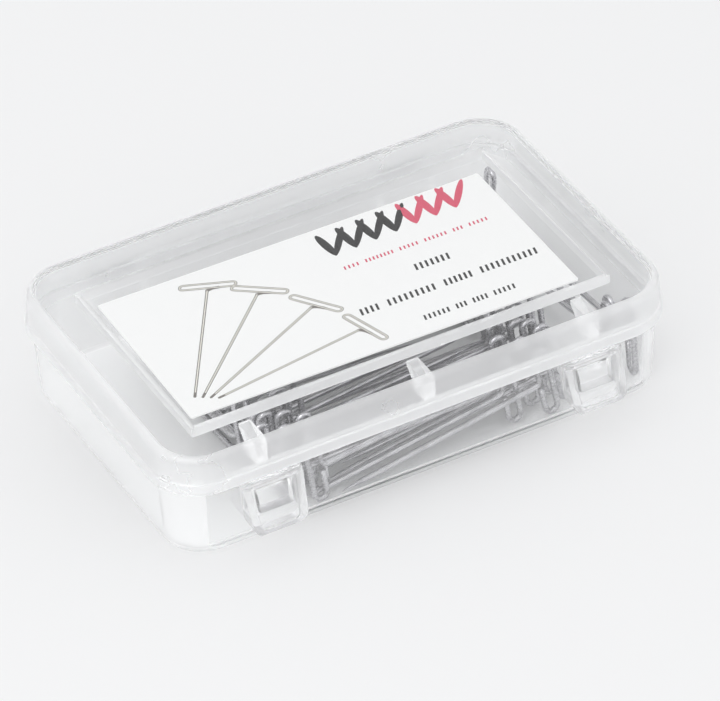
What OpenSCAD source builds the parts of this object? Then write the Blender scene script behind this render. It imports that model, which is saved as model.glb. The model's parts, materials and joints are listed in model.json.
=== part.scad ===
// Flat translucent plastic box with a hinged lid, two snap latches, a label card under the
// lid and a load of wire T-pins, as used for pinning out lace.
// The origin is on the underside, below the middle of the box. +X runs to the right along
// the long side, the latches face -Y, and the lid's hinge is at +Y.

/* [Box] */
// Length over the lid's flange
box_length = 95; // [94:1:120]
// Width over the lid's flange
box_width = 61; // [61:1:80]
// Height with the lid closed
box_height = 20.9; // [20.9:0.1:26]
// Height of the parting line, the lower edge of the lid's flange
parting_height = 13.7; // [13.7:0.1:14]
// Radius of the vertical corners at the flange
corner_radius = 9; // [7:0.5:12]
// Wall and floor thickness of the tray
tray_wall = 1.2; // [1:0.1:1.4]
// Thickness of the lid's top
lid_wall = 1.1; // [0.9:0.1:1.3]
// How far the tray's wall stands in from the flange
tray_inset = 1.1; // [1:0.1:1.2]
// How much further in the tray's wall is at the floor
tray_draft = 0.6; // [0.2:0.1:0.8]

/* [Lid] */
// Height of the flange along the lid's lower edge
flange_height = 2.2; // [1.8:0.1:2.4]
// Rounding of the lid's top edge
lid_rounding = 1.2; // [1:0.1:1.6]
// How far the tray's lip rises inside the lid
lip_rise = 1.9; // [1.2:0.1:2]
// Gap between the lid's lower edge and the tray's shoulder
seat_gap = 0.1; // [0.1:0.05:0.2]
// Thickness of the gussets inside the lid
gusset_width = 2.2; // [1:0.1:3]
// Distance of the outer gussets from the middle
gusset_spacing = 31; // [28:0.5:33]
// Height of the rib frame that the label card lies in
rib_height = 1.8; // [1:0.1:2]

/* [Hinge] */
// Distance between the two hinge stations
hinge_spacing = 56; // [40:1:64]
// Width of one hinge station over its ears
hinge_width = 12; // [8:0.5:16]
// Thickness of each ear
ear_width = 1.6; // [1:0.1:2]
// Radius of the moulded hinge pin
hinge_pin_radius = 0.9; // [0.8:0.05:1]
// Radial clearance of the knuckle on its pin
running_gap = 0.05; // [0.03:0.01:0.08]
// Outer radius of the ears and knuckles
knuckle_radius = 1.65; // [1.6:0.05:1.7]
// Depth of the hinge line below the parting line
hinge_drop = 1.75; // [1.7:0.05:1.9]

/* [Latches] */
// Distance between the two latches
latch_spacing = 60; // [50:1:64]
// Width of a latch at its top
latch_width = 11; // [10:0.5:12]
// Height of a latch's lower edge above the table
latch_bottom = 4.2; // [3.8:0.1:4.6]
// How far the latches and the hinge reach beyond the flange
reach = 3; // [3:0.1:3.4]
// Thickness of the latch's plate
latch_plate = 1; // [0.8:0.1:1.1]
// Width of the raised rim around the latch
latch_rim = 1.3; // [1:0.1:1.5]
// Width of the window in the latch
window_width = 7; // [6.6:0.1:7.4]
// Width of the tray's catch
catch_width = 6.2; // [5.8:0.1:6.4]

/* [Label card] */
// Length of the card
card_length = 72; // [60:1:76]
// Depth of the card
card_depth = 34.5; // [28:0.5:36]
// Thickness of the card
card_thickness = 0.35; // [0.2:0.05:0.5]
// Distance of the card's middle from the box's middle, to the left and to the front
card_offset = 1.6; // [0:0.1:3]
// Turn of the card under the lid
card_turn = -0.8; // [-1.5:0.1:1.5]

/* [T-pins] */
// Length over all of a pin
pin_length = 41; // [38:0.5:41]
// Width of a pin's head
head_width = 14.3; // [12:0.1:14.3]
// Height of the wire loop that makes the head
head_loop = 3.3; // [3:0.1:3.4]
// Diameter of the wire
wire = 1.05; // [0.8:0.05:1.05]
// Length of the ground point
point_length = 4.5; // [3:0.5:6]

/* [Hidden] */
FRONT_PINS = 28;
END_PINS = 4;
FLAT_PINS = 18;
PIN_COUNT = FRONT_PINS + END_PINS + FLAT_PINS;
function pin_name(i) = str("t_pin_", i < 10 ? "0" : "", i);

tiny = 0.3;                        // overlap of features that are moulded together
corner_fn = 32;                    // sides of the moulded corners
round_fn = 48;                     // sides of hinge parts
wire_fn = 24;                      // sides of the wire
plastic = [0.93, 0.94, 0.94, 0.45];
clear_plastic = [0.95, 0.96, 0.96, 0.35];
steel = [0.62, 0.61, 0.6];
paper = [0.97, 0.97, 0.96];

half_w = box_width / 2;
parting_gap_z = parting_height - seat_gap;
foot_round = 1.6;                  // rounding under the tray
inner_round = 0.8;                 // fillets inside the tray and the lid
floor_inset = tray_inset + tray_draft;
cavity_inset = tray_inset + tray_wall;
lip_wall = 0.8;
lip_top = parting_height + lip_rise;
lid_inset = 0.4;                   // step from the flange up to the lid's wall
skirt_wall = 1.3;
lid_side_wall = 1.1;
lid_ceiling = box_height - lid_wall;
flange_top = parting_height + flange_height;

hinge_y = half_w + reach - knuckle_radius;
hinge_z = parting_height - hinge_drop;
knuckle_gap = 0.3;                 // sideways play of a knuckle between its ears
snap_gap = 1.5;                    // mouth of the knuckle, less than the pin's diameter

flap_barrel = 0.6;                 // radius of the rolled top edge that a latch turns on
flap_y = -(half_w - tiny);
flap_z = parting_height - seat_gap - flap_barrel;
flap_front = flap_y - latch_plate / 2;
flap_back = flap_y + latch_plate / 2;
flap_tip = -(half_w + reach);
latch_taper = 0.7;                 // how much a latch narrows on each side towards its lip
latch_round = 2.2;
window_top = flap_z - flap_barrel - 0.1;
window_bottom = 7.4;
lip_height = 1.2;

panel_depth = 0.5;                 // how far the latch's panel lies behind its rim

catch_low = window_bottom + 0.15;
catch_front = flap_front - 1.5;
catch_top = flap_front - 0.2;
pad_high = window_top - 0.35;

gusset_depth = 5.8;
gusset_low = lip_top + 0.3;

rib_wall = 0.8;
rib_x = card_length / 2 + card_offset + 0.8;    // inner faces of the rib frame
rib_y = card_depth / 2 + card_offset + 1.45;

bend = (head_loop - wire) / 2;     // radius of the two end bends of the head
shank_bend = 1.3;                  // radius of the bend from head to shank
run_end = head_width / 2 - wire / 2 - bend;
inner_run = wire / 2 + 2 * bend;

pin_pitch = 1.15;                  // distance between neighbouring layers of pins
rest_gap = 0.15;                   // air left under the lowest wires
front_row_y = -(half_w - floor_inset - tray_wall) + 0.9;
right_head_x = [24.6, 18.3, 28.8, 23, 27.5, 20, 26.5, 25, 21.5, 29.5, 24, 27, 22.5, 30];
left_head_x = [-22, -27.2, -20.5, -24.5, -21, -28, -23, -26, -26.5, -19.5, -24, -21.5, -27.5,
               -18.5];
right_droop = [10, 9.4, 8.2, 10, 7.4, 9.2, 8.6, 9.8, 9, 7, 9.6, 8.4, 9.8, 6.5];
left_rise = [7.5, 2, 5, 8, 1, 3.5, 6.5, 4, 5.5, 3, 7.5, 1.5, 6, 4.5];
end_row_x = 37.5;
end_head_y = [-25.2, -23.6, 22.5, -25.8];
end_tilt = [9.5, 6.5, 9, 5];
FLAT_PER_LAYER = 5;
flat_turn = [3, -5, 2, 5];
flat_shift = [-1, 1.5, 0.5, -2];
flat_middle_y = 7.5;
lane_pitch = 4.3;
flat_reach = 26.5;                 // distance of the outermost heads from a layer's middle
flat_stagger = 3.7;

// Points of an arc in an [inset, height] profile
function arc(cx, cz, r, from, to, steps = 5) =
    [for (i = [0 : steps]) let (a = from + (to - from) * i / steps)
        [cx + r * cos(a), cz + r * sin(a)]];

// A rounded-rectangle block. The profile lists [inset from the flange's face, height].
module rounded_block(profile) {
    outline = concat([[0, profile[0][1]]],
                     [for (p = profile) [corner_radius - p[0], p[1]]],
                     [[0, profile[len(profile) - 1][1]]]);
    hull()
        for (sx = [-1, 1], sy = [-1, 1])
            translate([sx * (box_length / 2 - corner_radius), sy * (half_w - corner_radius), 0])
                rotate_extrude($fn = corner_fn)
                    polygon(outline);
}

// A prism that runs along X with its middle at x = 0; the outline lists [y, z] points
module along_x(width, outline) {
    translate([-width / 2, 0, 0])
        rotate([90, 0, 90])
            linear_extrude(width)
                polygon(outline);
}

// A prism that runs along -Y from y = front_y + depth to front_y; the outline lists [x, z]
module along_y(front_y, depth, outline) {
    translate([0, front_y + depth, 0])
        rotate([90, 0, 0])
            linear_extrude(depth)
                polygon(outline);
}

module hinge_rod(radius, width) {
    translate([-width / 2, hinge_y, hinge_z])
        rotate([0, 90, 0])
            cylinder(r = radius, h = width, $fn = round_fn);
}

module hinge_stations() {
    for (side = [-1, 1])
        translate([side * hinge_spacing / 2, 0, 0])
            children();
}

// Two ears and the pin between them, moulded on the tray's back wall
module hinge_ears() {
    ear_x = (hinge_width - ear_width) / 2;
    root_y = half_w - cavity_inset + tiny;
    for (side = [-1, 1])
        translate([side * ear_x, 0, 0]) {
            hinge_rod(knuckle_radius, ear_width);
            along_x(ear_width, [[root_y, hinge_z - 4], [hinge_y, hinge_z - knuckle_radius + 0.1],
                                [hinge_y, hinge_z + 1.2], [root_y, hinge_z + 1.2]]);
        }
    hinge_rod(hinge_pin_radius, hinge_width - ear_width);
}

// Catch that fills the latch's window, with a sloping face and a hooking face below
module catch_block() {
    root_y = -(half_w - cavity_inset) - tiny;
    along_x(catch_width, [[root_y, catch_low], [flap_y, catch_low],
                          [catch_front, catch_low + 0.4], [catch_front, catch_low + 0.8],
                          [catch_top, pad_high - 0.3], [catch_top + 0.3, pad_high],
                          [root_y, pad_high]]);
}

module tray() {
    outer = concat(arc(floor_inset + foot_round, foot_round, foot_round, 270, 180),
                   [[tray_inset, parting_gap_z]]);
    lip = [[cavity_inset - lip_wall, parting_height - 2], [cavity_inset - lip_wall, lip_top - 0.3],
           [cavity_inset - lip_wall + 0.3, lip_top]];
    cavity = concat(arc(floor_inset + tray_wall + inner_round, tray_wall + inner_round,
                        inner_round, 270, 180, 3),
                    [[cavity_inset, parting_gap_z], [cavity_inset, lip_top + 1]]);
    color(plastic)
        difference() {
            union() {
                rounded_block(outer);
                rounded_block(lip);
                hinge_stations() hinge_ears();
                for (side = [-1, 1])
                    translate([side * latch_spacing / 2, 0, 0])
                        catch_block();
            }
            rounded_block(cavity);
        }
}

// Snap-on knuckle with its arm up to the lid's flange
module hinge_knuckle() {
    width = hinge_width - 2 * ear_width - 2 * knuckle_gap;
    arm_root = half_w - tiny;
    difference() {
        union() {
            hinge_rod(knuckle_radius, width);
            along_x(width, [[arm_root, parting_height + 0.1], [hinge_y - 0.9, hinge_z + 1.1],
                            [hinge_y + 1.3, hinge_z + 0.6], [hinge_y + 0.3, flange_top - 0.9],
                            [arm_root, flange_top - 0.4]]);
        }
        hinge_rod(hinge_pin_radius + running_gap, width + 1);
        translate([-width, hinge_y - snap_gap / 2, hinge_z - 2 * knuckle_radius])
            cube([2 * width, snap_gap, 2 * knuckle_radius]);
    }
}

// Gusset between the lid's front wall and its top
module gusset() {
    wall_y = -(half_w - lid_side_wall - tiny);
    inner_y = -(half_w - lid_side_wall - gusset_depth);
    along_x(gusset_width, [[wall_y, gusset_low], [wall_y + 2.4, gusset_low],
                           [inner_y, lid_ceiling - 0.7], [inner_y, lid_ceiling + tiny],
                           [wall_y, lid_ceiling + tiny]]);
}

// Low frame on the underside of the lid's top, around the label card
module card_ribs() {
    difference() {
        translate([-rib_x - rib_wall, -rib_y - rib_wall, lid_ceiling - rib_height])
            cube([2 * (rib_x + rib_wall), 2 * (rib_y + rib_wall), rib_height + tiny]);
        translate([-rib_x, -rib_y, lid_ceiling - rib_height - 1])
            cube([2 * rib_x, 2 * rib_y, rib_height + tiny + 2]);
    }
}

module lid() {
    flange = [[0.25, parting_height], [0, parting_height + 0.25], [0, flange_top - 0.25],
              [0.25, flange_top]];
    upper = concat([[lid_inset, parting_height + 0.3]],
                   arc(lid_inset + 0.1 + lid_rounding, box_height - lid_rounding, lid_rounding,
                       180, 90));
    cavity = concat([[skirt_wall, parting_height - 1], [skirt_wall, flange_top]],
                    arc(lid_inset + lid_side_wall + inner_round, lid_ceiling - inner_round,
                        inner_round, 180, 90, 3));
    color(clear_plastic) {
        difference() {
            union() {
                rounded_block(flange);
                rounded_block(upper);
            }
            rounded_block(cavity);
        }
        for (x = [-gusset_spacing, 0, gusset_spacing])
            translate([x, 0, 0])
                gusset();
        card_ribs();
        hinge_stations() hinge_knuckle();
    }
}

// Front outline of a latch, narrowing to a lower edge with rounded corners
function latch_outline(margin, bottom) =
    let (top = latch_width / 2 - margin,
         low = top - latch_taper,
         r = max(latch_round - margin, 0.4))
    concat([[top, flap_z], [-top, flap_z]],
           arc(-low + r, bottom + r, r, 180, 270),
           arc(low - r, bottom + r, r, 270, 360));

// Flap that hangs below the lid's flange, with a window, a raised rim and a finger lip
module latch() {
    side_view = [[flap_back, latch_bottom], [flap_back, flap_z], [flap_front, flap_z],
                 [flap_front - 0.5, flap_z - flap_barrel], [flap_tip, latch_bottom + lip_height],
                 [flap_tip, latch_bottom + 0.4], [flap_tip + 0.4, latch_bottom]];
    window = window_width / 2;
    difference() {
        intersection() {
            along_x(2 * latch_width, side_view);
            along_y(flap_tip - 1, reach + 3, latch_outline(0, latch_bottom));
        }
        intersection() {
            along_y(flap_tip - 1, reach + 1,
                    latch_outline(latch_rim, latch_bottom + lip_height));
            along_x(2 * latch_width, [[flap_tip - 1, latch_bottom],
                                      [flap_tip + panel_depth, latch_bottom + lip_height],
                                      [flap_front - 0.5 + panel_depth, flap_z - flap_barrel],
                                      [flap_tip - 1, flap_z]]);
        }
        along_y(flap_tip - 1, reach + 3, [[-window, window_bottom], [window, window_bottom],
                                          [window, window_top], [-window, window_top]]);
    }
    translate([-latch_width / 2, flap_y, flap_z])
        rotate([0, 90, 0])
            cylinder(r = flap_barrel, h = latch_width, $fn = round_fn);
}

module latch_left() {
    color(plastic)
        translate([-latch_spacing / 2, 0, 0])
            latch();
}

module latch_right() {
    color(plastic)
        translate([latch_spacing / 2, 0, 0])
            latch();
}

module label_card() {
    color(paper)
        translate([-card_offset, -card_offset, lid_ceiling - card_thickness])
            rotate([0, 0, card_turn])
                translate([-card_length / 2, -card_depth / 2, 0])
                    cube([card_length, card_depth, card_thickness]);
}

module wire_run(from_y, to_y, x) {
    translate([x, from_y, 0])
        rotate([-90, 0, 0])
            cylinder(d = wire, h = to_y - from_y, $fn = wire_fn);
}

module wire_bend(radius, start, turn) {
    rotate([0, 0, start])
        rotate_extrude(angle = turn, $fn = wire_fn)
            translate([radius, 0])
                circle(d = wire, $fn = wire_fn);
}

// One T-pin in the XY plane. Its head spans Y beside x = 0 and its point is at +X.
module t_pin() {
    shank_start = inner_run + shank_bend;
    free_end = -wire;
    wire_run(-run_end, run_end, wire / 2);
    for (side = [-1, 1])
        translate([wire / 2 + bend, side * run_end, 0])
            wire_bend(bend, side > 0 ? 0 : 180, 180);
    wire_run(shank_bend, run_end, inner_run);
    wire_run(-run_end, free_end, inner_run);
    translate([shank_start, shank_bend, 0])
        wire_bend(shank_bend, 180, 90);
    translate([shank_start, 0, 0])
        rotate([0, 90, 0]) {
            cylinder(d = wire, h = pin_length - point_length - shank_start, $fn = wire_fn);
            translate([0, 0, pin_length - point_length - shank_start])
                cylinder(d1 = wire, d2 = 0.15, h = point_length, $fn = wire_fn);
        }
}

// A pin standing on the edge of its head, pointing along +X and tilted up by rise degrees
module on_edge(rise) {
    low_corner = rise < 0 ? -head_loop * sin(rise) : 0;
    translate([0, 0, tray_wall + rest_gap + head_width / 2 * cos(rise) + low_corner])
        rotate([0, -rise, 0])
            rotate([90, 0, 0])
                t_pin();
}

// Pairs of pins on edge behind the front wall: one head at each end, points passing each other
module front_pin(i) {
    row = floor(i / 2);
    y = front_row_y + row * pin_pitch;
    if (i % 2 == 0)
        translate([right_head_x[row], y, 0])
            rotate([0, 0, 180])
                on_edge(-right_droop[row]);
    else
        translate([left_head_x[row], y, 0])
            on_edge(left_rise[row]);
}

// Pins on edge across the right-hand end of the tray
module end_pin(i) {
    from_front = end_head_y[i] < 0;
    translate([end_row_x + i * pin_pitch, end_head_y[i], 0])
        rotate([0, 0, from_front ? 90 : -90])
            on_edge(-end_tilt[i]);
}

// Flat layers of pins in the middle of the tray, each layer turned a little on the last
module flat_pin(i) {
    layer = floor(i / FLAT_PER_LAYER);
    lane = i % FLAT_PER_LAYER;
    head_x = flat_reach - flat_stagger * (floor(lane / 2) % 2);
    translate([flat_shift[layer], flat_middle_y,
               tray_wall + rest_gap + wire / 2 + layer * pin_pitch])
        rotate([0, 0, flat_turn[layer] + (lane % 2 == 0 ? 0 : 180)])
            translate([-head_x, (lane % 2 == 0 ? 1 : -1) * (lane - 2) * lane_pitch, 0])
                t_pin();
}

module placed_pin(number) {
    i = number - 1;
    color(steel)
        if (i < FRONT_PINS)
            front_pin(i);
        else if (i < FRONT_PINS + END_PINS)
            end_pin(i - FRONT_PINS);
        else
            flat_pin(i - FRONT_PINS - END_PINS);
}

tray();
lid();
latch_left();
latch_right();
label_card();
for (number = [1 : PIN_COUNT])
    placed_pin(number);
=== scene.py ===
"""Translucent box of wire T-pins with a hinged snap lid and a printed card under its top."""

import json
import math

import bmesh
import bpy
from bpy.props import FloatProperty, FloatVectorProperty, IntProperty, PointerProperty
from mathutils import Matrix, Vector


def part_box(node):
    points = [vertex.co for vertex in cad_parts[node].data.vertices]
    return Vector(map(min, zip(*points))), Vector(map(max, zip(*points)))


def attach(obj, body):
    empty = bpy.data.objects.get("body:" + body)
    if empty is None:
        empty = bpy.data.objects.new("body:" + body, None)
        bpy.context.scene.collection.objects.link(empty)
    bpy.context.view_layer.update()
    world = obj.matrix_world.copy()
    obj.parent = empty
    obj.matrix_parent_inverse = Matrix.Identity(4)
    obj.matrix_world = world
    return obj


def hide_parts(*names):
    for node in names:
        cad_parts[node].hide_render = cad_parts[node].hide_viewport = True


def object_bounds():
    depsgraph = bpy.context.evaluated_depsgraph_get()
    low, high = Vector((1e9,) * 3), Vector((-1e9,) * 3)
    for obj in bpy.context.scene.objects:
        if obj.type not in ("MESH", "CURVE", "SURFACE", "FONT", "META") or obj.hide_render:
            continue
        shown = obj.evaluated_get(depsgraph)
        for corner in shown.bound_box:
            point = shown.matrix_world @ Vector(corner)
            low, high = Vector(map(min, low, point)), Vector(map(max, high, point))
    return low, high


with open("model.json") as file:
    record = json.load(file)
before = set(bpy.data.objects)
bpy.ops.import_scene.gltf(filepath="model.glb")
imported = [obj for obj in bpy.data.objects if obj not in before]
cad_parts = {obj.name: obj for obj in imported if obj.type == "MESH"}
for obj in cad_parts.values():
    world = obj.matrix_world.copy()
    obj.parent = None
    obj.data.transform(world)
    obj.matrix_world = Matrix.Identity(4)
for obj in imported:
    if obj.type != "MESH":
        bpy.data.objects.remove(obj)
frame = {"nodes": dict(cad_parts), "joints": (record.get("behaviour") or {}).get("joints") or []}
CAD_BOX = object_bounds()

bl_info = {
    "name": "T-pin box",
    "version": (1, 0, 0),
    "blender": (4, 5, 0),
    "location": "3D View > Sidebar > T-pin box",
    "description": "Builds a translucent pin box with its latches, label card and T-pins",
    "category": "Object",
}

MM = 0.001
BURIED = 0.3 * MM               # how far an added part reaches into the wall it joins
SOFT_EDGE = 0.12 * MM           # bevel on the edges of small moulded parts
PAST = 1 * MM                   # how far a cutting shape reaches past what it cuts
CREASE_DEG = 32.0               # edges sharper than this stay sharp
PIN_NODES = sorted(n for n in frame["nodes"] if n.startswith("t_pin_"))
LID_LOW, LID_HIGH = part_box("lid")
TRAY_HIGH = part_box("tray")[1]
CARD_LOW, CARD_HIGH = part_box("label_card")
HINGES = {j["name"]: Vector(j["pos_m"]) for j in frame["joints"]}


# --- Settings ---

def length(name, description, millimetres):
    """A length setting in metres with its default given in millimetres."""
    return FloatProperty(name=name, description=description, default=millimetres * MM,
                         min=0.0, subtype="DISTANCE", unit="LENGTH", precision=5)


def colour(name, description, rgb):
    """A colour setting."""
    return FloatVectorProperty(name=name, description=description, default=rgb,
                               min=0.0, max=1.0, size=3, subtype="COLOR")


def fraction(name, description, value):
    """A setting from 0 to 1."""
    return FloatProperty(name=name, description=description, default=value,
                         min=0.0, max=1.0, subtype="FACTOR")


class PinBoxShell(bpy.types.PropertyGroup):
    """Sizes and finish of the tray and the lid."""

    corner_radius: length("Corner radius", "Radius of the flange's corners", 9)
    parting: length("Parting line", "Height of the lid's lower edge", 13.7)
    seat_gap: length("Seat gap", "Gap between the lid's edge and the tray's shoulder", 0.1)
    tray_inset: length("Tray inset", "Step from the flange in to the tray's wall", 1.1)
    tray_draft: length("Tray draft", "How much further in the wall is at the floor", 0.6)
    tray_wall: length("Tray wall", "Thickness of the tray's walls and floor", 1.2)
    lip_wall: length("Lip wall", "Thickness of the lip inside the lid", 0.8)
    lip_rise: length("Lip rise", "Height of the lip above the parting line", 1.9)
    foot_round: length("Foot rounding", "Rounding under the tray", 1.6)
    flange_height: length("Flange height", "Height of the lid's flange", 2.2)
    lid_inset: length("Lid inset", "Step from the flange in to the lid's wall", 0.4)
    lid_wall: length("Lid wall", "Thickness of the lid", 1.1)
    lid_rounding: length("Lid rounding", "Rounding of the lid's top edge", 1.2)
    inner_round: length("Inner fillet", "Fillets inside the tray and the lid", 0.8)
    gusset_width: length("Gusset width", "Thickness of the gussets", 2.2)
    gusset_spacing: length("Gusset spacing", "Outer gussets' distance from the middle", 31)
    gusset_depth: length("Gusset depth", "How far a gusset stands into the lid", 5.8)
    rib_height: length("Rib height", "Height of the rib frame around the card", 1.8)
    rib_wall: length("Rib wall", "Thickness of the rib frame", 0.8)
    hinge_spacing: length("Hinge spacing", "Each hinge's distance from the middle", 28)
    hinge_width: length("Hinge width", "Width of a hinge over its ears", 12)
    ear_width: length("Ear width", "Thickness of a hinge ear", 1.6)
    hinge_pin: length("Hinge pin", "Radius of the moulded hinge pin", 0.9)
    tint: colour("Tint", "Colour of the polypropylene", (0.985, 0.988, 0.99))
    clarity: fraction("Clarity", "How much the lid's top lets through", 0.995)
    haze: fraction("Wall clarity", "How much each face of a wall lets through", 0.6)
    window: fraction("Window clarity", "How much each face of the front wall lets through",
                     0.93)
    latch: fraction("Latch and catch clarity", "How much each face of a latch lets through", 0.86)
    frost: fraction("Side clarity", "How much each face of the lid's sides lets through", 0.74)
    milk: fraction("Thick clarity", "How much each face of a thick part lets through", 0.5)


class PinBoxLatch(bpy.types.PropertyGroup):
    """Sizes of the latch flaps and of the catches that they drop over."""

    lip: length("Lip", "Height of the finger lip", 1.2)
    throat: length("Throat", "How far the flap slopes out just under its barrel", 0.5)
    plate: length("Plate", "Thickness of the flap's plate", 1.0)
    rim: length("Rim", "Width of the raised rim", 1.3)
    taper: length("Taper", "How much the flap narrows on each side", 0.7)
    rounding: length("Rounding", "Radius of the lower corners", 2.2)
    barrel: length("Barrel", "Radius of the rolled top edge", 0.6)
    window_width: length("Window width", "Width of the window", 7.0)
    window_low: length("Window sill", "Height of the window's lower edge", 7.4)
    panel_depth: length("Panel depth", "How far the panel lies behind the rim", 0.5)
    catch_width: length("Catch width", "Width of the catch", 6.2)
    catch_reach: length("Catch reach", "How far the catch stands out below", 1.5)


class PinBoxCard(bpy.types.PropertyGroup):
    """Size and inks of the label card."""

    width: length("Width", "Long side of the card", 72)
    depth: length("Depth", "Short side of the card", 34.5)
    turn: FloatProperty(name="Turn", description="Turn of the card under the lid",
                        default=math.radians(-0.8), subtype="ANGLE", unit="ROTATION")
    paper: colour("Paper", "Colour of the card", (0.97, 0.97, 0.96))
    black_ink: colour("Black ink", "Colour of the dark print", (0.006, 0.005, 0.005))
    red_ink: colour("Red ink", "Colour of the red print", (0.62, 0.07, 0.13))
    wire_ink: colour("Wire ink", "Dark tone of the drawn pins", (0.17, 0.155, 0.14))
    shine_ink: colour("Shine ink", "Light tone of the drawn pins", (0.72, 0.7, 0.64))


class PinBoxPins(bpy.types.PropertyGroup):
    """Length and finish of the T-pins."""

    overall: length("Length", "Length of a pin from its point to its head", 41)
    nickel: colour("Nickel", "Colour of the plating", (0.62, 0.615, 0.635))
    dull: colour("Dull nickel", "Colour where the plating is dull", (0.34, 0.335, 0.35))


class PinBoxStage(bpy.types.PropertyGroup):
    """Floor, light and camera."""

    floor: colour("Floor", "Colour of the floor", (0.86, 0.86, 0.86))
    sky: FloatProperty(name="Sky", description="Strength of the light from above", default=1.01)
    horizon: FloatProperty(name="Horizon", description="Strength of the light from the side",
                           default=1.02)
    behind: fraction("Behind", "How much of the light from the side there is at the back", 0.6)
    key: FloatProperty(name="Key light", description="Power of the key light", default=2.0,
                       subtype="POWER")
    azimuth: FloatProperty(name="Azimuth", description="Camera's angle round the box",
                           default=math.radians(-27.2), subtype="ANGLE", unit="ROTATION")
    elevation: FloatProperty(name="Elevation", description="Camera's angle above the floor",
                             default=math.radians(37.8), subtype="ANGLE", unit="ROTATION")
    roll: FloatProperty(name="Roll", description="Camera's tilt", default=math.radians(-2.55),
                        subtype="ANGLE", unit="ROTATION")
    distance: length("Distance", "Camera's distance from the box", 960)
    lens: FloatProperty(name="Lens", description="Focal length on a 36 mm sensor",
                        default=287.8, unit="CAMERA")
    segments: IntProperty(name="Corner segments", description="Steps in each rounded corner",
                          default=14, min=4)


# --- Materials ---

def node(tree, kind, **values):
    """A new shader node with its properties and input sockets set by name."""
    made = tree.nodes.new(kind)
    for key, value in values.items():
        if key in made.inputs:
            made.inputs[key].default_value = value
        else:
            setattr(made, key, value)
    return made


def principled(name, **sockets):
    """A material with one Principled shader; the sockets are set by name."""
    made = bpy.data.materials.new(name)
    made.use_nodes = True
    tree = made.node_tree
    shader = tree.nodes["Principled BSDF"]
    for key, value in sockets.items():
        shader.inputs[key.replace("_", " ")].default_value = value
    return made, tree, shader


def noise(tree, source, scale, detail=3.0, stretch=None):
    """Noise on the given coordinates, optionally stretched."""
    vector = source
    if stretch:
        mapping = node(tree, "ShaderNodeMapping", Scale=stretch)
        tree.links.new(source, mapping.inputs["Vector"])
        vector = mapping.outputs["Vector"]
    made = node(tree, "ShaderNodeTexNoise", Scale=scale, Detail=detail, Roughness=0.55)
    tree.links.new(vector, made.inputs["Vector"])
    return made.outputs["Fac"]


def ranged(tree, value, low, high, from_low=0.3, from_high=0.7):
    """Maps a value to a range, clamped."""
    made = node(tree, "ShaderNodeMapRange", clamp=True)
    made.inputs["From Min"].default_value = from_low
    made.inputs["From Max"].default_value = from_high
    made.inputs["To Min"].default_value = low
    made.inputs["To Max"].default_value = high
    tree.links.new(value, made.inputs["Value"])
    return made.outputs["Result"]


def bumped(tree, shader, height, distance, strength=0.5):
    """Gives a shader a bump of the given height."""
    bump = node(tree, "ShaderNodeBump", Strength=strength, Distance=distance)
    tree.links.new(height, bump.inputs["Height"])
    tree.links.new(bump.outputs["Normal"], shader.inputs["Normal"])


def object_coordinates(tree):
    """The object's own coordinates, in metres."""
    return node(tree, "ShaderNodeTexCoord").outputs["Object"]


def lets_light_in(tree, shader, share):
    """Lets lamps and light from matt surfaces pass straight through, so that it is bright inside."""
    path = node(tree, "ShaderNodeLightPath")
    soft = node(tree, "ShaderNodeMath", operation="MAXIMUM")
    tree.links.new(path.outputs["Is Shadow Ray"], soft.inputs[0])
    tree.links.new(path.outputs["Is Diffuse Ray"], soft.inputs[1])
    through = node(tree, "ShaderNodeBsdfTransparent", Color=(share, share, share, 1))
    mix = node(tree, "ShaderNodeMixShader")
    tree.links.new(soft.outputs[0], mix.inputs[0])
    tree.links.new(shader.outputs[0], mix.inputs[1])
    tree.links.new(through.outputs[0], mix.inputs[2])
    tree.links.new(mix.outputs[0], tree.nodes["Material Output"].inputs["Surface"])


def polypropylene(name, tint, clarity, rough_low, rough_high, ripple, gloss=0.25):
    """Moulded polypropylene, from clear to milky, with faint flow ripples and hazy patches."""
    made, tree, shader = principled(name, Base_Color=(*tint, 1), IOR=1.49,
                                    Specular_IOR_Level=gloss, Transmission_Weight=clarity)
    place = object_coordinates(tree)
    haze = noise(tree, place, 60.0, 4.0)
    ripples = noise(tree, place, 45.0, 0.0)
    grain = noise(tree, place, 900.0, 2.0)
    tree.links.new(ranged(tree, haze, rough_low, rough_high), shader.inputs["Roughness"])
    flow = node(tree, "ShaderNodeMath", operation="MULTIPLY_ADD")
    flow.inputs[1].default_value = 0.06
    tree.links.new(grain, flow.inputs[0])
    tree.links.new(ripples, flow.inputs[2])
    bumped(tree, shader, flow.outputs[0], ripple)
    lets_light_in(tree, shader, 0.99)
    return made


def card_stock(name, paper):
    """Coated white card with a faint fibre mottle."""
    made, tree, shader = principled(name, Base_Color=(*paper, 1), IOR=1.45,
                                    Coat_Weight=0.15, Coat_Roughness=0.25)
    place = object_coordinates(tree)
    fibre = noise(tree, place, 700.0, 5.0, (1.0, 1.6, 1.0))
    mix = node(tree, "ShaderNodeMix", data_type="RGBA")
    mix.inputs["A"].default_value = (*(0.965 * c for c in paper), 1)
    mix.inputs["B"].default_value = (*paper, 1)
    tree.links.new(fibre, mix.inputs["Factor"])
    tree.links.new(mix.outputs["Result"], shader.inputs["Base Color"])
    tree.links.new(ranged(tree, fibre, 0.42, 0.6), shader.inputs["Roughness"])
    bumped(tree, shader, fibre, 0.00001, 0.3)
    return made


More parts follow.
